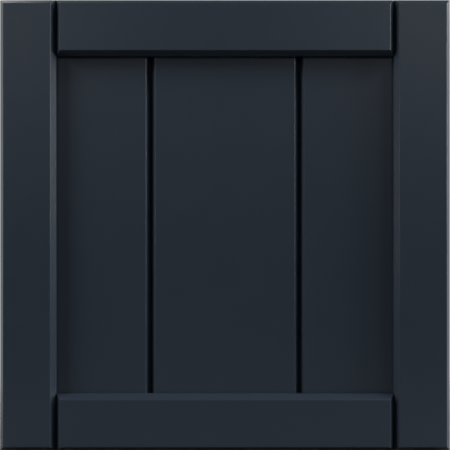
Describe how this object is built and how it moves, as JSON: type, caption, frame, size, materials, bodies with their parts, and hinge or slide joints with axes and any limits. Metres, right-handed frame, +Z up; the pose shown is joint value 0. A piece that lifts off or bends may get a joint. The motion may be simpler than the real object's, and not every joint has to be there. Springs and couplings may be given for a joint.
{
  "type": "framed board and batten shutter",
  "caption": "Square exterior shutter of vertical tongue and groove boards under a flat chamfered frame of stiles and rails, screwed from behind and fixed flat against a wall.",
  "frame": {"origin": "centre of the flat back face, which lies on the wall", "axes": "+X to the right as seen from the front, +Y out of the back towards the wall, +Z up"},
  "size_m": [0.4096, 0.0254, 0.4096],
  "materials": {
    "board_paint": "satin dark blue grey paint on smooth cellular PVC",
    "frame_paint": "satin dark blue grey paint on smooth cellular PVC"
  },
  "bodies": {
    "root": {"left_board": "board_paint", "centre_board": "board_paint", "right_board": "board_paint", "left_stile": "frame_paint", "right_stile": "frame_paint", "top_rail": "frame_paint", "bottom_rail": "frame_paint"}
  },
  "joints": []
}
